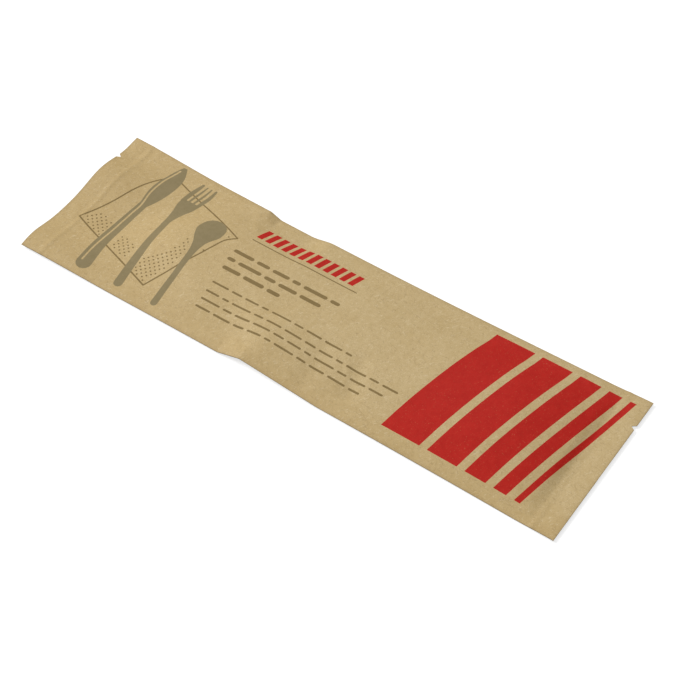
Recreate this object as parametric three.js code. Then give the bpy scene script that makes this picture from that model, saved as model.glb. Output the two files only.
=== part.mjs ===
// Sealed paper sachet that holds a knife, a fork, a coffee spoon and a folded napkin.
// Millimetres, +Z up. Length along X, width along Y, lying on its back with its middle on z = 0.
// The paper is never opened, so the sachet and what it holds are one closed body.

import { BufferGeometry, Float32BufferAttribute, Group, Mesh, MeshStandardMaterial } from 'three';

// Paper
const LENGTH = 250;
const WIDTH = 75;
const WALL = 0.15;
const SEAL = 9.5;

// Tear notches, one in each sealed end, measured down from the far edge
const NOTCH_DEPTH = 1.7;
const NOTCH_WIDTH = 2.4;
const LEFT_NOTCH_DROP = 13;
const RIGHT_NOTCH_DROP = 14.2;

// Fullness over the cutlery: height, run from each seal to full height, roundness of the sides
const FULLNESS = 4.6;
const LEFT_RUN = 72;
const RIGHT_RUN = 23;
const SIDE_POWER = 2.4;

// Long folded edges: how far they hang above the table and how far the filling draws them in
const FAR_EDGE_LIFT = 1.5;
const NEAR_EDGE_LIFT = 0.6;
const FAR_DRAW = 2.8;
const NEAR_DRAW = 0.8;
const FLAT_BACK = 54;

// Sealed ends: the right one lies nearly flat
const RIGHT_END_LIFT = 0.7;
const RIGHT_END_REACH = 18;

// The left end curls up in three waves: at the far corner, above the middle and near the near edge
const CURL_REACH = 50;
const CORNER_CURL_LIFT = 1.6;
const CORNER_CURL_SPREAD = 7.2;
const UPPER_CURL_Y = 13.6;
const UPPER_CURL_LIFT = 3.4;
const UPPER_CURL_SPREAD = 12.9;
const LOWER_CURL_Y = -30.4;
const LOWER_CURL_LIFT = 2;
const LOWER_CURL_SPREAD = 8.9;

// Kink: a crease that lifts the near edge, steep on its left and long on its right
const KINK_X = -15.6;
const KINK_LIFT = 2.15;
const KINK_DRAW = 0.8;
const KINK_STEEP = 10;
const KINK_LONG = 36.5;
const KINK_LEAN = 0.12;
const KINK_REACH = 36;
const KINK_FADE = 24;

// Dent: the far edge drops and is drawn in, and the paper beside it drops with it
const DENT_START = -53;
const DENT_END = -20;
const DENT_STEEP = 10;
const DENT_LONG = 11;
const DENT_DRAW = 0.6;
const DENT_DROP = 1.3;
const DENT_REACH = 24;

// Largest spacing of the facets along and across the sachet
const FACET_X = 4.6;
const FACET_Y = 4.2;

const halfLength = LENGTH / 2;
const halfWidth = WIDTH / 2;

// 0 below 0, 1 above 1, straight between
function ramp(t) {
  return Math.min(1, Math.max(0, t));
}

// The same with rounded corners
function ease(t) {
  const r = ramp(t);
  return r * r * (3 - 2 * r);
}

// 1 on the crease, 0 at the given runs to its left and right
function tent(distance, leftRun, rightRun) {
  return ramp(1 - Math.abs(distance) / (distance < 0 ? leftRun : rightRun));
}

function dent(x) {
  return ease((x - DENT_START) / DENT_STEEP) * ease((DENT_END - x) / DENT_LONG);
}

function kinkAtEdge(x) {
  return tent(x - KINK_X, KINK_STEEP, KINK_LONG);
}

// Plan outline: y of the far (+) and near (-) folded edges at x
function edgeY(x, side) {
  const bow = 1 - (x / halfLength) ** 2;
  if (side > 0) return halfWidth - FAR_DRAW * bow - DENT_DRAW * dent(x);
  return -halfWidth + NEAR_DRAW * bow + KINK_DRAW * kinkAtEdge(x);
}

function wave(distance, lift, spread) {
  return lift * Math.exp(-((distance / spread) ** 2));
}

// Height of the curled left end at y, before it dies away along the sachet
function curl(y) {
  return wave(y - halfWidth, CORNER_CURL_LIFT, CORNER_CURL_SPREAD)
    + wave(y - UPPER_CURL_Y, UPPER_CURL_LIFT, UPPER_CURL_SPREAD)
    + wave(y - LOWER_CURL_Y, LOWER_CURL_LIFT, LOWER_CURL_SPREAD);
}

// 0 over the flat back, 1 at the folded edges
function edgeZone(across) {
  return ease((Math.abs(across) * halfWidth - FLAT_BACK / 2) / (halfWidth - FLAT_BACK / 2));
}

// Underside: flat under the filling, lifted at the folded edges and at both ends
function backHeight(x, y, across) {
  const bow = 1 - (x / halfLength) ** 4;
  const farLift = FAR_EDGE_LIFT * bow - DENT_DROP * dent(x);
  const nearLift = NEAR_EDGE_LIFT * bow + KINK_LIFT * kinkAtEdge(x);
  const leftEnd = curl(y) * ease((CURL_REACH - halfLength - x) / CURL_REACH);
  const rightEnd = RIGHT_END_LIFT * ease((x - halfLength + RIGHT_END_REACH) / RIGHT_END_REACH);
  return (across > 0 ? farLift : nearLift) * edgeZone(across) + leftEnd + rightEnd;
}

// Space between the two sheets
function filling(x, y, across) {
  const leftRise = ease((x + halfLength - SEAL) / LEFT_RUN);
  const rightRise = 1 - (1 - ramp((halfLength - SEAL - x) / RIGHT_RUN)) ** 2;
  const sides = 1 - Math.abs(across) ** SIDE_POWER;
  const inside = 1 - edgeZone(across);
  const dip = DENT_DROP * dent(x) * ease((y - halfWidth + DENT_REACH) / DENT_REACH) * inside;
  const crease = tent(x - KINK_X - KINK_LEAN * (y + halfWidth), KINK_STEEP, KINK_LONG);
  const fade = ease((KINK_REACH - halfWidth - y) / KINK_FADE);
  const kink = KINK_LIFT * crease * fade * (across < 0 ? inside : 1);
  return Math.max(0, FULLNESS * leftRise * rightRise * sides - dip + kink);
}

// Stops in order, with even steps between them no longer than the facet size
function stations(stops, facet) {
  const sorted = [...stops].sort((a, b) => a - b).filter((s, i, all) => i === 0 || s - all[i - 1] > 1e-6);
  const result = [sorted[0]];
  for (let i = 1; i < sorted.length; i += 1) {
    const span = sorted[i] - sorted[i - 1];
    const steps = Math.ceil(span / facet);
    for (let k = 1; k <= steps; k += 1) result.push(sorted[i - 1] + (span * k) / steps);
  }
  return result;
}

const leftNotchY = halfWidth - LEFT_NOTCH_DROP;
const rightNotchY = halfWidth - RIGHT_NOTCH_DROP;

const columns = stations([
  -halfLength, -halfLength + 2 * NOTCH_DEPTH, -halfLength + SEAL,
  DENT_START, DENT_START + DENT_STEEP, DENT_END - DENT_LONG, DENT_END,
  KINK_X - KINK_STEEP, KINK_X, KINK_X + KINK_LONG,
  halfLength - SEAL, halfLength - 2 * NOTCH_DEPTH, halfLength,
], FACET_X);

const rows = stations([
  -halfWidth, -FLAT_BACK / 2, FLAT_BACK / 2, halfWidth,
  leftNotchY - NOTCH_WIDTH / 2, leftNotchY, leftNotchY + NOTCH_WIDTH / 2,
  rightNotchY - NOTCH_WIDTH / 2, rightNotchY, rightNotchY + NOTCH_WIDTH / 2,
], FACET_Y);

// How far a notch pushes the end of the sheet inward on this row
function notchBite(column, row) {
  if (column === 0) return NOTCH_DEPTH * tent(row - leftNotchY, NOTCH_WIDTH / 2, NOTCH_WIDTH / 2);
  if (column === columns.length - 1) {
    return -NOTCH_DEPTH * tent(row - rightNotchY, NOTCH_WIDTH / 2, NOTCH_WIDTH / 2);
  }
  return 0;
}

// Upper and lower points of every grid crossing, upper first
function sachetPoints() {
  const points = [];
  columns.forEach((station, column) => {
    rows.forEach((row) => {
      const x = station + notchBite(column, row);
      const across = row / halfWidth;
      const y = Math.abs(across) * edgeY(x, across);
      const back = backHeight(x, y, across);
      points.push(x, y, back + 2 * WALL + filling(x, y, across));
      points.push(x, y, back);
    });
  });
  return points;
}

// Faces of the upper sheet, the underside and the rim that joins them
function sachetFaces() {
  const faces = [];
  const upper = (column, row) => 2 * (column * rows.length + row);
  const lower = (column, row) => upper(column, row) + 1;
  const quad = (a, b, c, d) => faces.push(a, b, c, a, c, d);
  const lastColumn = columns.length - 1;
  const lastRow = rows.length - 1;
  for (let i = 0; i < lastColumn; i += 1) {
    for (let j = 0; j < lastRow; j += 1) {
      quad(upper(i, j), upper(i + 1, j), upper(i + 1, j + 1), upper(i, j + 1));
      quad(lower(i, j), lower(i, j + 1), lower(i + 1, j + 1), lower(i + 1, j));
    }
    quad(lower(i, 0), lower(i + 1, 0), upper(i + 1, 0), upper(i, 0));
    quad(lower(i + 1, lastRow), lower(i, lastRow), upper(i, lastRow), upper(i + 1, lastRow));
  }
  for (let j = 0; j < lastRow; j += 1) {
    quad(lower(0, j + 1), lower(0, j), upper(0, j), upper(0, j + 1));
    quad(lower(lastColumn, j), lower(lastColumn, j + 1), upper(lastColumn, j + 1), upper(lastColumn, j));
  }
  return faces;
}

function makeSachet() {
  const geometry = new BufferGeometry();
  geometry.setAttribute('position', new Float32BufferAttribute(sachetPoints(), 3));
  geometry.setIndex(sachetFaces());
  geometry.computeVertexNormals();
  const kraftPaper = new MeshStandardMaterial({ color: 0xbda67b, roughness: 0.85, metalness: 0 });
  const sachet = new Mesh(geometry, kraftPaper);
  sachet.name = 'cutlery_sachet';
  return sachet;
}

const sachetSet = new Group();
sachetSet.add(makeSachet());

export default sachetSet;
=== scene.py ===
import math

import bpy
import numpy as np
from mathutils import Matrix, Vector, kdtree, noise
from mathutils.geometry import delaunay_2d_cdt


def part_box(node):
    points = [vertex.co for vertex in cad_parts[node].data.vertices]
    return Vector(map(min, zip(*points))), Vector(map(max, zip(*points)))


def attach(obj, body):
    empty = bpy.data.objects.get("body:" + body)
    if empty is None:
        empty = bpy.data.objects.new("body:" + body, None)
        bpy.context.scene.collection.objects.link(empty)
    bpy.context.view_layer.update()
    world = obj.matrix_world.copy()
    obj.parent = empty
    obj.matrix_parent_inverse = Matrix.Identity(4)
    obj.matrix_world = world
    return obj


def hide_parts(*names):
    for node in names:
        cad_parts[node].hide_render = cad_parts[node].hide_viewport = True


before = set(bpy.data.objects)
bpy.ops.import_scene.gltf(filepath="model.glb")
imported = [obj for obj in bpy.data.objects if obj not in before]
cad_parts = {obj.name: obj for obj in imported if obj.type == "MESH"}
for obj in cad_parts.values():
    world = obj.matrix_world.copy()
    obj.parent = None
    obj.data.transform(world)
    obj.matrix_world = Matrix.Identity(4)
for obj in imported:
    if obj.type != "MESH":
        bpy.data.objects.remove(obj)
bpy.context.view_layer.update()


# Print on the paper
# Inks laid on the flat web before it is folded: a grey knife, fork and spoon on a napkin, brown bars
# and red slanted stripes. Places are in millimetres on the front, x along it and y across it.

BARE, GREY, BROWN, RED = range(4)
CAP_STEPS = 8

NAPKIN_LINE = 0.7
NAPKIN_LEFT = (-116.5, -11.2)
NAPKIN_TOP = (-96.5, 29.4)
NAPKIN_RIGHT = (-52.7, 13.9)
NAPKIN_FOOT = (-70, -27.3)

SHINE_WIDTH = 0.75

# Fork: each tine's place from the middle and its width, then how the tines lean, draw in, bow and thin
FORK_X = -82.1
PALM_LEAN = 0.07
SLOT_Y = 21.1
TINES = ((-3.7, 2.1), (-1.2, 1.05), (1.05, 1.05), (3.55, 1.8))
TINE_LENGTH = 11.4
TINE_ROOT = 1
TINE_LEAN = 0.12
TIP_PLACE = 0.94
TINE_BOW = 0.1
TINE_TAPER = (1, 1.05, 0.6)

STRIPE_WIDTHS = (17, 13, 9, 5.5, 2.5)
STRIPE_GAP = 3.4
STRIPE_START = 46.5
STRIPE_FOOT = -31
STRIPE_TOP = 33.5
STRIPE_LEAN = 0.2

# A band of short stripes, with a thin rule under it
BAND_START = -47.5
BAND_END = 3.2
BAND_FOOT = 20.6
BAND_TOP = 28
BAND_BAR = 2.6
BAND_GAP = 1.45
RULE_Y = 18
RULE_HEIGHT = 0.6

# Rows of bars: y, left and right end of each row. The lengths come round again, and grow with the
# height of the bars.
BAR_LENGTHS = (8.2, 5.1, 6.6, 3.2, 9.3, 4.4, 7.2)
BAR_GROWTH = 0.3
BAR_GAP = 1.6
HEADING_BAR = 1.9
HEADING_ROWS = ((7.6, -49.8, 1.8), (2.4, -49.6, -2.2), (-2.7, -48.4, -20.4))
LIGHT_BAR = 0.95
LIGHT_ROWS = ((-11.4, -47, 20.2), (-16.3, -46.6, 44.6), (-20.4, -46, 40.2), (-24.4, -45.8, 33.8))


def smooth_line(points, steps=8):
    """A smooth line through a few points."""
    points = np.array(points, dtype=float)
    padded = np.vstack([2 * points[0] - points[1], points, 2 * points[-1] - points[-2]])
    line = []
    for a, b, c, d in zip(padded, padded[1:], padded[2:], padded[3:]):
        for t in np.arange(steps) / steps:
            bend = (2 * a - 5 * b + 4 * c - d) * t**2 + (3 * b - a - 3 * c + d) * t**3
            line.append(b + ((c - a) * t + bend) / 2)
    return np.array([*line, points[-1]])


def stroke(points, widths, steps=8):
    """Outline of a line of changing width, with round ends."""
    track = smooth_line([(x, y, width) for (x, y), width in zip(points, widths)], steps)
    middle, half = track[:, :2], track[:, 2:] / 2
    ahead = np.gradient(middle, axis=0)
    ahead /= np.linalg.norm(ahead, axis=1, keepdims=True)
    side = ahead[:, ::-1] * (-1, 1)
    turn = np.linspace(0, math.pi, CAP_STEPS + 1)[1:-1, None]
    end_cap = middle[-1] + half[-1] * (np.cos(turn) * side[-1] + np.sin(turn) * ahead[-1])
    start_cap = middle[0] - half[0] * (np.cos(turn) * side[0] + np.sin(turn) * ahead[0])
    return np.vstack([middle + side * half, end_cap, (middle - side * half)[::-1], start_cap])


def slanted(left, right, foot, top):
    """A bar that leans to the right as it rises."""
    shift = STRIPE_LEAN * (top - foot)
    return [(left, foot), (right, foot), (right + shift, top), (left + shift, top)]


def bar_row(y, left, right, height, first_length):
    """Rounded bars of changing length, with even gaps, from left to right."""
    bars = []
    turn = first_length
    while right - left > height:
        end = min(left + BAR_LENGTHS[turn % len(BAR_LENGTHS)] * height**BAR_GROWTH, right)
        radius = height / 2
        bars.append(stroke([(left + radius, y), (end - radius, y)], [height, height], 1))
        left = end + BAR_GAP
        turn += 1
    return bars


def knife():
    back = smooth_line([(-97.1, 35.6), (-99.4, 30.8), (-100.9, 24.4), (-101, 16.5), (-99.8, 8)])
    edge = smooth_line([(-96, 8), (-94, 12.5), (-92.7, 18), (-92.4, 25), (-93.2, 31), (-95.4, 35.8)])
    handle = stroke([(-97.9, 10), (-99.2, -4), (-99.4, -18), (-97.7, -30.8)], [3.9, 4.8, 5.8, 6.8])
    return [np.vstack([back, edge]), handle]


def knife_shine():
    """The bare line of light along the knife."""
    line = [(-97.3, 33.2), (-99.5, 25.5), (-99.6, 15.5), (-98.7, 8)]
    line += [(-99.3, 2), (-99.9, -6), (-100.3, -20), (-99.4, -29.8)]
    return [stroke(line, [SHINE_WIDTH] * len(line))]


def fork():
    lean = TINE_LEAN * TINE_LENGTH
    tip_y = SLOT_Y + TINE_LENGTH
    tines = []
    for place, width in TINES:
        root, tip = FORK_X + place, FORK_X + TIP_PLACE * place + lean
        middle = (root + tip) / 2 + TINE_BOW * place
        line = [(root, SLOT_Y - TINE_ROOT), (middle, SLOT_Y + TINE_LENGTH / 2), (tip, tip_y)]
        tines.append(stroke(line, [share * width for share in TINE_TAPER]))
    side = smooth_line([(4.5, SLOT_Y), (4.1, 17), (2.6, 12), (1.6, 7), (1.35, 3)])
    palm = np.vstack([side, side[::-1] * (-1, 1)])
    palm[:, 0] += FORK_X + PALM_LEAN * (palm[:, 1] - SLOT_Y)
    handle = stroke([(-83.2, 9), (-82.8, -6), (-81.3, -19), (-79.4, -31.6)], [2.7, 3.2, 3.7, 3.9])
    return [*tines, palm, handle]


def spoon():
    bowl = [(-64.2, 12.4), (-64.5, 9.2), (-64.5, 5.6), (-64.1, 1.8)]
    handle = [(-63.4, -4), (-62.4, -14), (-60.9, -32)]
    return [stroke(bowl + handle, [11.7, 11.6, 8.4, 5, 3, 2.7, 3])]


def napkin():
    sides = (
        [NAPKIN_LEFT, (-109.6, 3), (-105, 16), (-101, 24.6), NAPKIN_TOP],
        [NAPKIN_TOP, (-81, 24.3), (-66, 19.3), NAPKIN_RIGHT],
        [NAPKIN_RIGHT, (-56.2, 9.9), (-58.3, 3.6), (-61.3, -5.6), NAPKIN_FOOT],
        [NAPKIN_FOOT, NAPKIN_LEFT],
    )
    return [stroke(side, [NAPKIN_LINE] * len(side)) for side in sides]


def stripes():
    """Wide stripes that get narrower to the right."""
    shapes = []
    left = STRIPE_START
    for width in STRIPE_WIDTHS:
        shapes.append(slanted(left, left + width, STRIPE_FOOT, STRIPE_TOP))
        left += width + STRIPE_GAP
    return shapes


def short_stripes():
    shapes = []
    left = BAND_START
    while left + BAND_BAR < BAND_END:
        shapes.append(slanted(left, left + BAND_BAR, BAND_FOOT, BAND_TOP))
        left += BAND_BAR + BAND_GAP
    return shapes


rule = stroke([(BAND_START, RULE_Y), (BAND_END, RULE_Y)], [RULE_HEIGHT] * 2, 1)
rows = []
for turn, row in enumerate(HEADING_ROWS):
    rows += bar_row(*row, HEADING_BAR, 3 * turn)
for turn, row in enumerate(LIGHT_ROWS):
    rows += bar_row(*row, LIGHT_BAR, 2 * turn)

# Where two shapes overlap, the later one shows.
printed = [(shape, BROWN) for shape in [*napkin(), *rows, rule]]
printed += [(shape, GREY) for shape in [*fork(), *spoon(), *knife()]]
printed += [(shape, BARE) for shape in knife_shine()]
printed += [(shape, RED) for shape in [*stripes(), *short_stripes()]]


# Paper sachet
# One web of brown kraft paper, folded into a flat tube with a glued lap seam down its back and
# heat-sealed across both ends. The cutlery and napkin inside fill it out and crease it.
# Every size here is in millimetres, and MM turns it to metres when the mesh is made.

MM = 0.001
low, high = (np.array(corner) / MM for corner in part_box("cutlery_sachet"))
HALF_LENGTH = (high[0] - low[0]) / 2
HALF_WIDTH = (high[1] - low[1]) / 2

WALL = 0.15
SEAL = 9.5
NOTCH_DEPTH = 1.7
NOTCH_WIDTH = 2.4
LEFT_NOTCH_ROW = HALF_WIDTH - 13
RIGHT_NOTCH_ROW = HALF_WIDTH - 14.2

# Height over the cutlery, and how the front rises to it. The right rise is a short step and then a long
# slope. In a band over the middle, the left rise starts later and ends sooner.
FULLNESS = 4.6
LEFT_RUN = 72
RISE_BAND = 15
RISE_DELAY = 14
RISE_CUT = 36
RIGHT_RUN = 38
RIGHT_POWER = 1.6
RIGHT_STEP = 0.25
RIGHT_STEP_RUN = 7
SIDE_POWER = 2.4

# The long folds hang above the table, and the filling draws them in
FAR_EDGE_LIFT = 1.5
NEAR_EDGE_LIFT = 0.6
FAR_DRAW = 2.8
NEAR_DRAW = 0.8
FLAT_BACK = 54

# Both sealed ends stand off the table. The left one curls up in waves: place, height and spread.
RIGHT_END_LIFT = 0.7
RIGHT_END_REACH = 18
CURL_REACH = 50
CURLS = ((HALF_WIDTH, 1.6, 7.2), (13.6, 3.4, 12.9), (-30.4, 2.0, 8.9))

# Kink: a crease that lifts the near edge, steep on its left and long on its right. It softens and bows
# as it runs in over the front.
KINK_X = -15.6
KINK_LIFT = 2.15
KINK_DRAW = 0.8
KINK_STEEP = 10
KINK_LONG = 36.5
KINK_SOFT = 14
KINK_BOW = 0.7
KINK_BOW_END = 16
KINK_BOW_LIMIT = 20
KINK_REACH = 34
KINK_TRAIL = 4
KINK_FADE = 24
KINK_ROUND = 4
KINK_SAMPLES = 5

# Dent: the far edge drops and is drawn in, and the front beside it dips in a longer slope
DENT_START = -51.9
DENT_END = -20
DENT_STEEP = 5.5
DENT_LONG = 11
DENT_DRAW = 0.6
DENT_DROP = 1.3
DENT_REACH = 26
DIP_START = -65
DIP_STEEP = 21

# Soft folds pressed into the front sheet: from, to, height and half-width. They fade at their ends.
CREASES = (
    ((9, -13), (12, -36), -0.35, 4.5),
    ((25, -10), (29, -27), -0.4, 4.0),
    ((21, -15), (26, -25), 0.1, 1.1),
    ((62, -26), (74, -35), 0.07, 0.9),
    ((67, -24), (80, -33), 0.06, 0.9),
    ((41, -29), (52, -35), 0.08, 1.0),
    ((99, 32), (108, 26), 0.1, 1.4),
    ((100, -33), (109, -27), 0.1, 1.4),
    ((-58, 35), (-50, 22), 0.12, 1.6),
    ((-12, -14), (4, -9), 0.08, 1.2),
    ((-38, 31), (-26, 34), 0.08, 1.3),
    ((-49, 33), (-46.4, 31), -0.12, 1.1),
    ((13, -33), (23, -27), 0.07, 0.9),
)
CREASE_FADE = 4

# Waves of the loose front: heights and lengths, and the layer of noise that the short ones come from
SWELL = 0.16
SWELL_LENGTH = 26
COCKLE = 0.035
COCKLE_LENGTH = 9
COCKLE_LAYER = 90

# The lip where each seal begins, and the lap seam along the back
SEAL_LIP = 0.16
SEAL_LIP_WIDTH = 0.8
LAP_ROW = -6
LAP_STEP = 0.12
LAP_FADE = 22

# Rings that close the rim, upper first: height, share of the fold's bulge and share of the cut's groove
FOLD_ROUND = 0.12
CUT_GROOVE = 0.06
CORNER_FADE = 1.5
RINGS = ((0.8, 0.7, 0), (0.5, 1, 1), (0.2, 0.7, 0))
ON_EDGE = 1e-6

# Spacing of the points on the front and the back, and the share of it by which they clear a cut line.
# The triangulation keeps only what lies inside the sheet, and merges points closer than the gap.
GRID = 0.75
BACK_GRID = 1.5
CLEARANCE = 0.4
INSIDE_ONLY = 1
MERGE_GAP = 1e-5
SHARP_ANGLE = 40

# Painted light: how fast the shade painted along an edge dies away, and where the paper is greyed as
# painted sheen
EDGE_SHADE_FALLOFF = 0.35
SHEEN_RUN = 150
SHEEN_MARGIN = 16


def ramp(t):
    """0 below 0, 1 above 1, straight between."""
    return np.clip(t, 0, 1)


def ease(t):
    """The same with rounded corners."""
    r = ramp(t)
    return r * r * (3 - 2 * r)


def tent(distance, left_run, right_run):
    """1 on the crease, 0 at the given runs to its left and right."""
    return ramp(1 - np.abs(distance) / np.where(distance < 0, left_run, right_run))


def rounded_tent(distance, left_run, right_run):
    """The mean of a few tents side by side."""
    shifts = KINK_ROUND * np.linspace(-1, 1, KINK_SAMPLES)
    return sum(tent(distance + shift, left_run, right_run) for shift in shifts) / len(shifts)


def folded_dent(x):
    """The dent at the folded edge, where the creased paper drops in a short straight line."""
    return ramp((x - DENT_START) / DENT_STEEP) * ease((DENT_END - x) / DENT_LONG)


def soft_dent(x):
    """The same dent beside the edge, where the paper drops in a long soft slope."""
    return ease((x - DIP_START) / DIP_STEEP) * ease((DENT_END - x) / DENT_LONG)


def edge_y(x, far):
    """Distance of a folded edge from the middle line at x."""
    bow = 1 - (x / HALF_LENGTH) ** 2
    kink = tent(x - KINK_X, KINK_STEEP, KINK_LONG)
    far_edge = HALF_WIDTH - FAR_DRAW * bow - DENT_DRAW * folded_dent(x)
    near_edge = HALF_WIDTH - NEAR_DRAW * bow - KINK_DRAW * kink
    return np.where(far, far_edge, near_edge) - FOLD_ROUND


def lie(x, row):
    """Where a point of the flat sheet lies in plan, and how far across it is."""
    across = row / HALF_WIDTH
    return across * edge_y(x, across > 0), across


def edge_zone(across):
    """0 over the flat back, 1 at the folded edges."""
    return ease((np.abs(across) * HALF_WIDTH - FLAT_BACK / 2) / (HALF_WIDTH - FLAT_BACK / 2))


def back_height(x, y, across):
    """Underside: flat under the filling, lifted at the folded edges and at both ends."""
    bow = 1 - (x / HALF_LENGTH) ** 4
    kink = KINK_LIFT * tent(x - KINK_X, KINK_STEEP, KINK_LONG)
    far_lift = FAR_EDGE_LIFT * bow - DENT_DROP * folded_dent(x)
    edge_lift = np.where(across > 0, far_lift, NEAR_EDGE_LIFT * bow + kink)
    curl = sum(lift * np.exp(-(((y - at) / spread) ** 2)) for at, lift, spread in CURLS)
    left_end = curl * ease((CURL_REACH - HALF_LENGTH - x) / CURL_REACH)
    right_end = RIGHT_END_LIFT * ease((x - HALF_LENGTH + RIGHT_END_REACH) / RIGHT_END_REACH)
    return edge_lift * edge_zone(across) + left_end + right_end


def filling(x, y, across):
    """Space between the two sheets."""
    band = np.exp(-((y / RISE_BAND) ** 4))
    left_rise = ease((x + HALF_LENGTH - SEAL - RISE_DELAY * band) / (LEFT_RUN - RISE_CUT * band))
    from_seal = HALF_LENGTH - SEAL - x
    long_rise = 1 - (1 - ramp(from_seal / RIGHT_RUN)) ** RIGHT_POWER
    right_rise = RIGHT_STEP * ease(from_seal / RIGHT_STEP_RUN) + (1 - RIGHT_STEP) * long_rise
    sides = 1 - np.abs(across) ** SIDE_POWER
    inside = 1 - edge_zone(across)
    dip = DENT_DROP * soft_dent(x) * ease((y - HALF_WIDTH + DENT_REACH) / DENT_REACH) * inside
    inward = np.minimum(y + HALF_WIDTH, KINK_BOW_LIMIT)
    past_ridge = x - KINK_X - KINK_BOW * inward * (1 - inward / KINK_BOW_END)
    crease = rounded_tent(past_ridge, KINK_SOFT, KINK_LONG)
    reach = KINK_REACH + KINK_TRAIL * ease(past_ridge / KINK_STEEP)
    fade = ease((reach - HALF_WIDTH - y) / KINK_FADE)
    kink = KINK_LIFT * crease * fade * np.where(across < 0, inside, 1)
    return np.maximum(FULLNESS * left_rise * right_rise * sides - dip + kink, 0)


def creases(x, y):
    """Height of the soft folds, which fade past both of their ends."""
    total = np.zeros_like(x)
    for start, end, height, width in CREASES:
        start, end = np.array(start), np.array(end)
        run = end - start
        along = ((x - start[0]) * run[0] + (y - start[1]) * run[1]) / (run @ run)
        near = start + ramp(along)[:, None] * run
        gap = np.hypot(x - near[:, 0], y - near[:, 1])
        fade = ease(CREASE_FADE * along + 1) * ease(CREASE_FADE + 1 - CREASE_FADE * along)
        total += height * fade * np.exp(-((gap / width) ** 2))
    return total


def swells(x, y):
    """The gentle waves of paper that isn't stretched tight."""
    long_waves = [noise.noise(Vector((a, b, 0)) / SWELL_LENGTH) for a, b in zip(x, y)]
    short_waves = [noise.noise(Vector((a, b, COCKLE_LAYER)) / COCKLE_LENGTH) for a, b in zip(x, y)]
    return SWELL * np.array(long_waves) + COCKLE * np.array(short_waves)


def sheet_outline():
    """The cut sheet's corners, anticlockwise, with a V at each tear notch."""
    half_notch = NOTCH_WIDTH / 2
    return [
        (-HALF_LENGTH, -HALF_WIDTH),
        (HALF_LENGTH, -HALF_WIDTH),
        (HALF_LENGTH, RIGHT_NOTCH_ROW - half_notch),
        (HALF_LENGTH - NOTCH_DEPTH, RIGHT_NOTCH_ROW),
        (HALF_LENGTH, RIGHT_NOTCH_ROW + half_notch),
        (HALF_LENGTH, HALF_WIDTH),
        (-HALF_LENGTH, HALF_WIDTH),
        (-HALF_LENGTH, LEFT_NOTCH_ROW + half_notch),
        (-HALF_LENGTH + NOTCH_DEPTH, LEFT_NOTCH_ROW),
        (-HALF_LENGTH, LEFT_NOTCH_ROW - half_notch),
    ]


def fine_loop(corners, step):
    """The same loop, anticlockwise, with no side longer than the step."""
    loop = np.array(corners, dtype=float)
    ahead = np.roll(loop, -1, axis=0)
    if np.sum(loop[:, 0] * ahead[:, 1] - loop[:, 1] * ahead[:, 0]) < 0:
        loop = loop[::-1]
    points = []
    for start, end in zip(loop, np.roll(loop, -1, axis=0)):
        count = math.ceil(np.linalg.norm(end - start) / step)
        points += [start + (end - start) * k / count for k in range(count)]
    return np.array(points)


def triangulate(shapes, step):
    """Triangles over the sheet, cut exactly along each shape, and the shapes that each lies in."""
    loops = [fine_loop(sheet_outline(), GRID)] + [fine_loop(shape, step) for shape in shapes]
    edges = np.vstack(loops)
    tree = kdtree.KDTree(len(edges))
    for i, (x, row) in enumerate(edges):
        tree.insert((x, row, 0), i)
    tree.balance()
    xs = np.arange(-HALF_LENGTH + step / 2, HALF_LENGTH, step)
    cross_rows = np.arange(-HALF_WIDTH + step / 2, HALF_WIDTH, step)
    crossings = [(x, row) for x in xs for row in cross_rows]
    inner = [(x, row) for x, row in crossings if tree.find((x, row, 0))[2] > CLEARANCE * step]
    points = [Vector(p) for p in np.vstack([edges, inner])]
    starts = np.cumsum([0] + [len(loop) for loop in loops])
    faces = [list(range(a, b)) for a, b in zip(starts, starts[1:])]
    cut = delaunay_2d_cdt(points, [], faces, INSIDE_ONLY, MERGE_GAP)
    verts, _, triangles, sources, _, owners = cut
    place = {source: i for i, group in enumerate(sources) for source in group}
    rim = [place[i] for i in range(len(loops[0]))]
    return np.array([tuple(v) for v in verts]), triangles, rim, owners


lap_edge = [
    (-HALF_LENGTH, LAP_ROW), (HALF_LENGTH, LAP_ROW),
    (HALF_LENGTH, LAP_ROW + LAP_STEP), (-HALF_LENGTH, LAP_ROW + LAP_STEP),
]
front, front_faces, front_rim, owners = triangulate([shape for shape, _ in printed], GRID)
back, back_faces, back_rim, _ = triangulate([lap_edge], BACK_GRID)


def front_points(sheet):
    """The front sheet in space, with the print still on its triangles."""
    x, row = sheet.T
    y, across = lie(x, row)
    space = filling(x, y, across)
    loose = ramp(space)
    seal_lip = SEAL_LIP * np.exp(-(((np.abs(x) - HALF_LENGTH + SEAL) / SEAL_LIP_WIDTH) ** 2))
    level = back_height(x, y, across) + 2 * WALL + space
    return np.stack([x, y, level + loose * (creases(x, y) + swells(x, y)) + seal_lip], axis=1)


def back_points(sheet):
    """The back sheet in space, with the step of the lap seam along it."""
    x, row = sheet.T
    y, across = lie(x, row)
    past_lap = row - LAP_ROW
    tucked = LAP_STEP * ramp(past_lap / LAP_STEP) * ease(1 - past_lap / LAP_FADE)
    return np.stack([x, y, back_height(x, y, across) + tucked], axis=1)


def rim_points(front_edge, back_edge, sheet):
    """Rings between the sheets: a rounded fold on the long sides, a cut groove at the ends."""
    x, row = sheet.T
    along = ramp((HALF_LENGTH - np.abs(x)) / CORNER_FADE)
    folded = np.where(np.abs(row) > HALF_WIDTH - ON_EDGE, along, 0)
    rings = []
    for height, bulge, groove in RINGS:
        ring = back_edge + (front_edge - back_edge) * height
        ring[:, 1] += FOLD_ROUND * bulge * folded * np.sign(row)
        ring[:, 0] -= CUT_GROOVE * groove * (1 - folded) * np.sign(x)
        rings.append(ring)
    return rings


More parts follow.
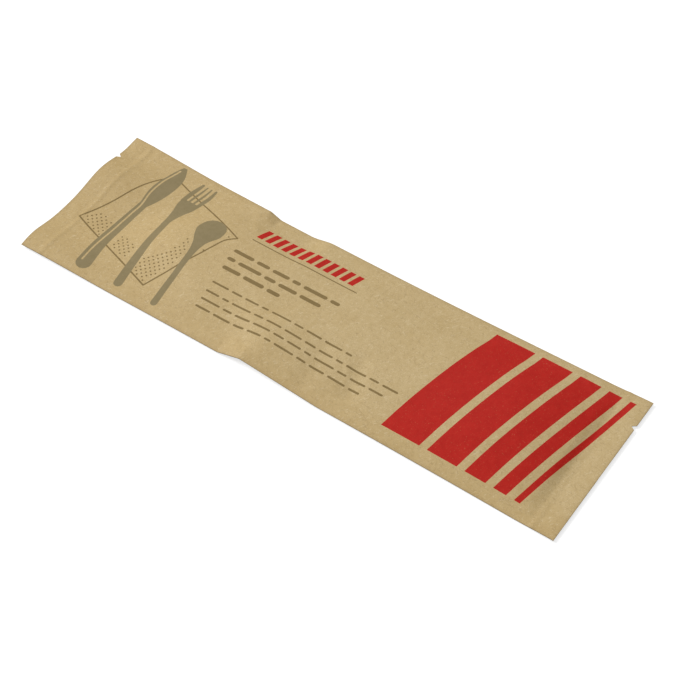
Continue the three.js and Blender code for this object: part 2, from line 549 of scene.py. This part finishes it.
front_xyz, back_xyz = front_points(front), back_points(back)
rings = rim_points(front_xyz[front_rim], back_xyz[back_rim], front[front_rim])
verts = np.vstack([front_xyz, back_xyz, *rings])
faces = list(front_faces)
faces += [[len(front) + i for i in reversed(face)] for face in back_faces]
first_ring = len(front) + len(back)
count = len(front_rim)
levels = [front_rim]
for k in range(len(RINGS)):
    levels.append(range(first_ring + k * count, first_ring + (k + 1) * count))
levels.append([len(front) + i for i in back_rim])
for upper, lower in zip(levels, levels[1:]):
    for j in range(count):
        after = (j + 1) % count
        faces.append([upper[j], lower[j], lower[after], upper[after]])

mesh = bpy.data.meshes.new("kraft_sachet")
mesh.from_pydata(verts * MM, [], faces)
mesh.shade_smooth()
mesh.set_sharp_from_angle(angle=math.radians(SHARP_ANGLE))

# Shape 0 is the sheet itself, and the last shape that a triangle lies in gives it its ink
last_shapes = [max(owner) for owner in owners]
inks = [printed[last - 1][1] if last else BARE for last in last_shapes]
mesh.polygons.foreach_set("material_index", inks + [BARE] * (len(faces) - len(inks)))


def mark(name, values):
    """Keep a value at each point of the mesh, for the materials to read."""
    mesh.attributes.new(name, "FLOAT", "POINT").data.foreach_set("value", values)


# How near each point is to a folded or cut edge, where the paper is painted darker as shade at the fold
# and the cut
flat_x, flat_row = np.vstack([front, back, *[front[front_rim]] * len(RINGS)]).T
edge_gap = np.minimum(HALF_LENGTH - np.abs(flat_x), HALF_WIDTH - np.abs(flat_row))
mark("painted_edge_shade", np.exp(-edge_gap / EDGE_SHADE_FALLOFF))

# How much the paper is greyed as painted sheen: most over the filling, least along the near fold and the
# curl, which tilt away from the sheen
mark("painted_sheen", ease((flat_x + HALF_LENGTH) / SHEEN_RUN) * ramp((flat_row + HALF_WIDTH) / SHEEN_MARGIN))

sachet = bpy.data.objects.new("kraft_sachet", mesh)
bpy.context.scene.collection.objects.link(sachet)


def linear(hex_colour):
    """An sRGB hex colour as linear RGBA."""
    channels = [int(hex_colour[i : i + 2], 16) / 255 for i in (1, 3, 5)]
    return [c / 12.92 if c <= 0.04045 else ((c + 0.055) / 1.055) ** 2.4 for c in channels] + [1]


def add(tree, kind, values=(), **settings):
    """Add a node with its settings. A value that is a socket is linked, and any other is set."""
    made = tree.nodes.new(kind)
    for name, setting in settings.items():
        setattr(made, name, setting)
    for name, value in dict(values).items():
        if isinstance(value, bpy.types.NodeSocket):
            tree.links.new(value, made.inputs[name])
        else:
            made.inputs[name].default_value = value
    return made


# Unbleached kraft paper, machine made and uncoated. Its long fibres lie mostly along the web, so the
# eye sees a warm brown with soft clouds of denser pulp, fine grain, and stray light and dark fibres.
CLOUD = 14
FLOC = 2.4
GRAIN = 0.45
KRAFT_DARK = "#b99f6b"
KRAFT_LIGHT = "#ccb587"
# Warm tint painted where the paper tilts away from the sheen; the flatter paper is left greyer as
# painted sheen
NO_SHEEN_TINT = "#f9f3e3"
# The brown painted as shade along the folded and cut edges
EDGE_SHADE_BROWN = "#8f7548"
SPECK_STRENGTH = 0.6
# How strongly that painted edge shade darkens the paper
EDGE_SHADE_STRENGTH = 0.5

# Real fibres are about 0.03 mm thick, too fine to show, so these are drawn about three times as thick.
# Each lay has its angle to the web in degrees, its shift, its colour and its strength.
FIBRE_LENGTH = 3.6
FIBRE_GAP = 1.12
FIBRE_TOLERANCE = 0.012
FIBRE_DARK = "#94794c"
FIBRE_LIGHT = "#dcc9a2"
FIBRE_LAYS = ((8, 0, FIBRE_DARK, 0.36), (-57, 0.3, FIBRE_LIGHT, 0.38), (64, 0.7, FIBRE_DARK, 0.27))

# Relief in millimetres, and how much of it comes from the fibres and the clots of pulp
RELIEF = 0.06
RELIEF_STRENGTH = 0.5
FIBRE_RELIEF = 0.25
FLOC_RELIEF = 0.8
PAPER_ROUGHNESS = (0.55, 0.68)
PAPER_SHINE = 0.5


def per_metre(millimetres):
    return 1 / (millimetres * MM)


def fibres(tree, coordinates, angle, shift):
    """Thin threads where a stretched noise crosses its middle value."""
    turned = add(tree, "ShaderNodeMapping", {
        "Vector": coordinates, "Location": (shift, 0, 0), "Rotation": (0, 0, math.radians(angle)),
    })
    stretched = add(tree, "ShaderNodeMapping", {
        "Vector": turned.outputs[0],
        "Scale": (per_metre(FIBRE_LENGTH), per_metre(FIBRE_GAP), per_metre(FIBRE_LENGTH)),
    })
    waves = add(tree, "ShaderNodeTexNoise", {"Vector": stretched.outputs[0], "Scale": 1, "Detail": 1})
    crossing = {0: waves.outputs[0], 1: 0.5, 2: FIBRE_TOLERANCE}
    return add(tree, "ShaderNodeMath", crossing, operation="COMPARE").outputs[0]


def kraft_surface(tree):
    """Colour, height, density and grain of the bare paper, which the inks share.

    A colour Mix node takes its factor at 0 and its colours at 6 and 7, and gives its result at 2.
    A Map Range node takes its value at 0, its old range at 1 and 2 and its new range at 3 and 4.
    """
    coordinates = add(tree, "ShaderNodeTexCoord").outputs["Object"]
    cloud, floc, grain = (
        add(tree, "ShaderNodeTexNoise", {
            "Vector": coordinates, "Scale": per_metre(size), "Detail": detail, "Roughness": 0.6,
        }).outputs[0]
        for size, detail in ((CLOUD, 3), (FLOC, 4), (GRAIN, 2)))
    lays = [fibres(tree, coordinates, angle, shift) for angle, shift, _, _ in FIBRE_LAYS]
    spread = add(tree, "ShaderNodeMapRange", {0: cloud, 1: 0.35, 2: 0.65, 3: 0.18, 4: 0.82}).outputs[0]
    clots = add(tree, "ShaderNodeMapRange", {0: floc, 1: 0.34, 2: 0.66}).outputs[0]
    density = add(tree, "ShaderNodeMath", {0: spread, 1: clots}, operation="ADD").outputs[0]
    density = add(tree, "ShaderNodeMath", {0: density, 1: 0.5}, operation="MULTIPLY").outputs[0]
    tones = {0: density, 6: linear(KRAFT_DARK), 7: linear(KRAFT_LIGHT)}
    pulp = add(tree, "ShaderNodeMix", tones, data_type="RGBA").outputs[2]
    # Painted sheen: the paper is tinted warmer along the near fold and the curled end, which tilt away
    # from the sheen, and left greyer over the rest
    painted_sheen = add(tree, "ShaderNodeAttribute", attribute_name="painted_sheen").outputs["Fac"]
    sheen_tones = {0: painted_sheen, 6: linear(NO_SHEEN_TINT), 7: (1, 1, 1, 1)}
    sheen_tint = add(tree, "ShaderNodeMix", sheen_tones, data_type="RGBA").outputs[2]
    sheen_mix = {0: 1, 6: pulp, 7: sheen_tint}
    sheen_tinted = add(tree, "ShaderNodeMix", sheen_mix, data_type="RGBA", blend_type="MULTIPLY").outputs[2]
    speck = add(tree, "ShaderNodeMapRange", {0: grain, 1: 0.4, 2: 0.66, 3: SPECK_STRENGTH, 4: 0})
    specked = {0: speck.outputs[0], 6: sheen_tinted, 7: linear(KRAFT_DARK)}
    colour = add(tree, "ShaderNodeMix", specked, data_type="RGBA").outputs[2]
    for threads, (_, _, tone, strength) in zip(lays, FIBRE_LAYS):
        faint = add(tree, "ShaderNodeMath", {0: threads, 1: strength}, operation="MULTIPLY").outputs[0]
        threaded = {0: faint, 6: colour, 7: linear(tone)}
        colour = add(tree, "ShaderNodeMix", threaded, data_type="RGBA").outputs[2]
    raised = add(tree, "ShaderNodeMath", {0: lays[0], 1: lays[1]}, operation="ADD").outputs[0]
    fine = {0: raised, 1: FIBRE_RELIEF, 2: grain}
    fine_relief = add(tree, "ShaderNodeMath", fine, operation="MULTIPLY_ADD").outputs[0]
    whole = {0: floc, 1: FLOC_RELIEF, 2: fine_relief}
    height = add(tree, "ShaderNodeMath", whole, operation="MULTIPLY_ADD").outputs[0]
    return colour, height, density, grain


def finish(tree, colour, height, grain, roughness, shine):
    """Join the colour, relief and gloss to the shader, which is smoother where the grain is low."""
    smooth, coarse = roughness
    gloss = add(tree, "ShaderNodeMapRange", {0: grain, 1: 0.3, 2: 0.7, 3: smooth, 4: coarse})
    shader = tree.nodes["Principled BSDF"]
    relief = {"Height": height, "Strength": RELIEF_STRENGTH, "Distance": RELIEF * MM}
    bump = add(tree, "ShaderNodeBump", relief)
    tree.links.new(colour, shader.inputs["Base Color"])
    tree.links.new(bump.outputs[0], shader.inputs["Normal"])
    tree.links.new(gloss.outputs[0], shader.inputs["Roughness"])
    shader.inputs["Specular IOR Level"].default_value = shine


def kraft_paper():
    material = bpy.data.materials.new("kraft_paper")
    material.use_nodes = True
    tree = material.node_tree
    colour, height, _, grain = kraft_surface(tree)
    # Painted shade: the paper is browned along its folded and cut edges, where shade falls at the fold
    edge_shade = add(tree, "ShaderNodeAttribute", attribute_name="painted_edge_shade").outputs["Fac"]
    edge_darkening = add(tree, "ShaderNodeMath", {0: edge_shade, 1: EDGE_SHADE_STRENGTH}, operation="MULTIPLY").outputs[0]
    edge_shaded = {0: edge_darkening, 6: colour, 7: linear(EDGE_SHADE_BROWN)}
    edged = add(tree, "ShaderNodeMix", edge_shaded, data_type="RGBA").outputs[2]
    finish(tree, edged, height, grain, PAPER_ROUGHNESS, PAPER_SHINE)
    return material


# Water-based flexo ink, printed from a rubber plate and soaked into the paper. It is matt, a little
# smoother than bare kraft, thinner over dense pulp, and missing at the odd raised grain.
INK_COVER = 0.7
INK_ROUGHNESS = (0.48, 0.6)
INK_SHINE = 0.12


def flexo_ink(name, full, thin):
    material = bpy.data.materials.new(name)
    material.use_nodes = True
    tree = material.node_tree
    colour, height, density, grain = kraft_surface(tree)
    tones = {0: density, 6: linear(full), 7: linear(thin)}
    ink = add(tree, "ShaderNodeMix", tones, data_type="RGBA").outputs[2]
    cover = add(tree, "ShaderNodeMapRange", {0: grain, 1: 0.62, 2: 0.78, 3: 1, 4: INK_COVER})
    covered = {0: cover.outputs[0], 6: colour, 7: ink}
    print_colour = add(tree, "ShaderNodeMix", covered, data_type="RGBA").outputs[2]
    finish(tree, print_colour, height, grain, INK_ROUGHNESS, INK_SHINE)
    return material


mesh.materials.append(kraft_paper())
mesh.materials.append(flexo_ink("grey_flexo_ink", "#867855", "#90815f"))
brown_ink = flexo_ink("brown_flexo_ink", "#7f6a41", "#89744b")
mesh.materials.append(brown_ink)
mesh.materials.append(flexo_ink("red_flexo_ink", "#ae1a12", "#bc241a"))

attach(sachet, "root")
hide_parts("cutlery_sachet")


# Napkin dots
# Fields of small dots that shade the edges of the drawn napkin. They are the same brown ink as its
# outline, laid as thin discs on the front of the paper and turned to follow its surface.

DOT_PITCH = 1.85
DOT_SIZE = 0.78
DOT_SIDES = 8
DOT_LIFT = 0.02
LATTICE_TURN = 45
DROP_HEIGHT = 20
DOT_FIELDS = (
    ((-114.8, -10.8), (-103.1, -14.9), (-102.9, -6.4), (-111, -4.1)),
    ((-95, -16.9), (-85, -20.5), (-85.4, -12.4), (-95, -8.8)),
    ((-78.8, -22.7), (-71.6, -25.1), (-68.4, -19.8), (-65.4, -10.5), (-66.4, -3), (-68.8, 2.6),
     (-72, -8.4), (-79, -16.6)),
    ((-61.2, -1.8), (-60.5, -1.8), (-57.4, 8), (-55, 12.4), (-56.8, 14.3), (-57.5, 8.9), (-59.5, 4.2)),
)

# The fields hang flat above the paper, and the dots drop from them
field_corners = [corner for field in DOT_FIELDS for corner in field]
first_corners = np.cumsum([0] + [len(field) for field in DOT_FIELDS])
field_points = [(x * MM, y * MM, DROP_HEIGHT * MM) for x, y in field_corners]
field_faces = [list(range(a, b)) for a, b in zip(first_corners, first_corners[1:])]
field_mesh = bpy.data.meshes.new("napkin_dots")
field_mesh.from_pydata(field_points, [], field_faces)
dots = bpy.data.objects.new("napkin_dots", field_mesh)
bpy.context.scene.collection.objects.link(dots)

tree = bpy.data.node_groups.new("dots_on_paper", "GeometryNodeTree")
tree.interface.new_socket("Fields", in_out="INPUT", socket_type="NodeSocketGeometry")
paper_input = tree.interface.new_socket("Paper", in_out="INPUT", socket_type="NodeSocketObject")
pitch_input = tree.interface.new_socket("Pitch", in_out="INPUT", socket_type="NodeSocketFloat")
size_input = tree.interface.new_socket("Dot size", in_out="INPUT", socket_type="NodeSocketFloat")
lift_input = tree.interface.new_socket("Lift", in_out="INPUT", socket_type="NodeSocketFloat")
ink_input = tree.interface.new_socket("Ink", in_out="INPUT", socket_type="NodeSocketMaterial")
tree.interface.new_socket("Dots", in_out="OUTPUT", socket_type="NodeSocketGeometry")
given = add(tree, "NodeGroupInput").outputs

# A square lattice, turned on its corner, that covers every field
field_size = np.ptp(np.array(field_corners), axis=0)
lattice_size = float(np.hypot(*field_size))
lattice_count = math.ceil(lattice_size / DOT_PITCH)
side = add(tree, "ShaderNodeMath", {0: given["Pitch"], 1: lattice_count}, operation="MULTIPLY")
lattice = add(tree, "GeometryNodeMeshGrid", {
    "Size X": side.outputs[0], "Vertices X": lattice_count + 1,
    "Size Y": side.outputs[0], "Vertices Y": lattice_count + 1,
})
middle = np.mean([np.min(field_corners, axis=0), np.max(field_corners, axis=0)], axis=0) * MM
placed = add(tree, "GeometryNodeTransform", {
    "Geometry": lattice.outputs["Mesh"],
    "Translation": (*middle, 0),
    "Rotation": (0, 0, math.radians(LATTICE_TURN)),
})

# Only the points under a field are kept
above = add(tree, "GeometryNodeRaycast", {
    "Target Geometry": given["Fields"], "Ray Direction": (0, 0, 1), "Ray Length": 2 * DROP_HEIGHT * MM,
})
outside = add(tree, "FunctionNodeBooleanMath", {0: above.outputs["Is Hit"]}, operation="NOT")
kept = add(tree, "GeometryNodeDeleteGeometry", {
    "Geometry": placed.outputs[0], "Selection": outside.outputs[0],
})

# Each point drops onto the front of the paper and gets a disc that faces the way the paper does
paper = add(tree, "GeometryNodeObjectInfo", {"Object": given["Paper"]})
start = add(tree, "ShaderNodeVectorMath", {
    0: add(tree, "GeometryNodeInputPosition").outputs[0], 1: (0, 0, DROP_HEIGHT * MM),
}, operation="ADD")
down = add(tree, "GeometryNodeRaycast", {
    "Target Geometry": paper.outputs["Geometry"], "Source Position": start.outputs[0],
    "Ray Direction": (0, 0, -1), "Ray Length": 2 * DROP_HEIGHT * MM,
})
lift = add(tree, "ShaderNodeVectorMath", {
    0: down.outputs["Hit Normal"], "Scale": given["Lift"],
}, operation="SCALE")
spot = add(tree, "ShaderNodeVectorMath", {
    0: down.outputs["Hit Position"], 1: lift.outputs[0],
}, operation="ADD")
laid = add(tree, "GeometryNodeSetPosition", {"Geometry": kept.outputs[0], "Position": spot.outputs[0]})
facing = add(tree, "FunctionNodeAlignRotationToVector", {"Vector": down.outputs["Hit Normal"]}, axis="Z")
radius = add(tree, "ShaderNodeMath", {0: given["Dot size"], 1: 0.5}, operation="MULTIPLY")
disc = add(tree, "GeometryNodeMeshCircle", {
    "Vertices": DOT_SIDES, "Radius": radius.outputs[0],
}, fill_type="NGON")
spread_dots = add(tree, "GeometryNodeInstanceOnPoints", {
    "Points": laid.outputs[0], "Instance": disc.outputs[0], "Rotation": facing.outputs[0],
})
real = add(tree, "GeometryNodeRealizeInstances", {"Geometry": spread_dots.outputs[0]})
inked = add(tree, "GeometryNodeSetMaterial", {"Geometry": real.outputs[0], "Material": given["Ink"]})
add(tree, "NodeGroupOutput", {"Dots": inked.outputs[0]})

modifier = dots.modifiers.new("dots_on_paper", "NODES")
modifier.node_group = tree
modifier[paper_input.identifier] = sachet
modifier[pitch_input.identifier] = DOT_PITCH * MM
modifier[size_input.identifier] = DOT_SIZE * MM
modifier[lift_input.identifier] = DOT_LIFT * MM
modifier[ink_input.identifier] = brown_ink
evaluated = dots.evaluated_get(bpy.context.evaluated_depsgraph_get())
dot_mesh = bpy.data.meshes.new_from_object(evaluated)
dots.modifiers.clear()
dots.data = dot_mesh
dot_mesh.materials.clear()
dot_mesh.materials.append(brown_ink)
dot_mesh.polygons.foreach_set("material_index", [0] * len(dot_mesh.polygons))

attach(dots, "root")


# Table, lamps and camera
# A white sweep that the sachet lies on, a broad soft lamp from its curled end and white surroundings.
# The sweep and the room are white to the camera, and the sweep keeps the sachet's soft shadow. Sizes
# here are in metres.

FLOOR_HALF = 3.0
FLOOR_DROP = 0.0002
FLOOR_WHITE = 0.45
FLOOR_GLOW = 0.7
ROOM_LIGHT = 0.3

scene = bpy.context.scene
scene.view_settings.view_transform = "Standard"

floor_mesh = bpy.data.meshes.new("floor")
signs = ((-1, -1), (1, -1), (1, 1), (-1, 1))
floor_corners = [(x * FLOOR_HALF, y * FLOOR_HALF, -FLOOR_DROP) for x, y in signs]
floor_mesh.from_pydata(floor_corners, [], [(0, 1, 2, 3)])
floor = bpy.data.objects.new("floor", floor_mesh)
scene.collection.objects.link(floor)
sweep = bpy.data.materials.new("white_sweep")
sweep.use_nodes = True
shader = sweep.node_tree.nodes["Principled BSDF"]
shader.inputs["Base Color"].default_value = (FLOOR_WHITE, FLOOR_WHITE, FLOOR_WHITE, 1)
shader.inputs["Roughness"].default_value = 1
shader.inputs["Emission Color"].default_value = (1, 1, 1, 1)
seen = add(sweep.node_tree, "ShaderNodeLightPath").outputs["Is Camera Ray"]
glow = add(sweep.node_tree, "ShaderNodeMath", {0: seen, 1: FLOOR_GLOW}, operation="MULTIPLY")
sweep.node_tree.links.new(glow.outputs[0], shader.inputs["Emission Strength"])
floor_mesh.materials.append(sweep)

world = bpy.data.worlds.new("white_room")
scene.world = world
world.use_nodes = True
room = world.node_tree.nodes["Background"]
room.inputs["Color"].default_value = (1, 1, 1, 1)
seen = add(world.node_tree, "ShaderNodeLightPath").outputs["Is Camera Ray"]
level = add(world.node_tree, "ShaderNodeMapRange", {0: seen, 3: ROOM_LIGHT, 4: 1})
world.node_tree.links.new(level.outputs[0], room.inputs["Strength"])


def around(azimuth, elevation, distance):
    """A place seen from the middle at this angle, with azimuth 0 towards -Y and 90 towards +X."""
    turn, rise = math.radians(azimuth), math.radians(elevation)
    flat = math.cos(rise)
    return distance * Vector((math.sin(turn) * flat, -math.cos(turn) * flat, math.sin(rise)))


def aim(thing, place, target):
    """Stand a lamp or a camera at a place and point it at the target."""
    thing.location = place
    thing.rotation_mode = "QUATERNION"
    thing.rotation_quaternion = (target - place).to_track_quat("-Z", "Y")
    scene.collection.objects.link(thing)


def lamp(name, size, watts, azimuth, elevation, distance):
    """A round soft lamp that faces the middle."""
    light = bpy.data.lights.new(name, "AREA")
    light.shape = "DISK"
    light.size = size
    light.energy = watts
    aim(bpy.data.objects.new(name, light), around(azimuth, elevation, distance), Vector())


lamp("key_lamp", size=3.8, watts=554, azimuth=-78, elevation=38, distance=8.0)

# A smaller lamp, facing the camera over the sachet, that gives the paper its faint sheen
lamp("sheen_lamp", size=1.6, watts=21, azimuth=214.8, elevation=50.5, distance=3.0)

# A long lens from the near right, so that the sachet's long edges stay almost parallel. The lens and
# its sensor are in millimetres, as Blender takes them.
SENSOR = 36
FOCAL_LENGTH = 92.65
CAMERA_TARGET = Vector((10.597, -5.398, 2.0)) * MM
CAMERA_AZIMUTH = 34.772
CAMERA_ELEVATION = 50.485
CAMERA_DISTANCE = 678.843 * MM
camera_data = bpy.data.cameras.new("camera")
camera_data.sensor_width = SENSOR
camera_data.lens = FOCAL_LENGTH
camera = bpy.data.objects.new("camera", camera_data)
camera_place = CAMERA_TARGET + around(CAMERA_AZIMUTH, CAMERA_ELEVATION, CAMERA_DISTANCE)
aim(camera, camera_place, CAMERA_TARGET)
scene.camera = camera
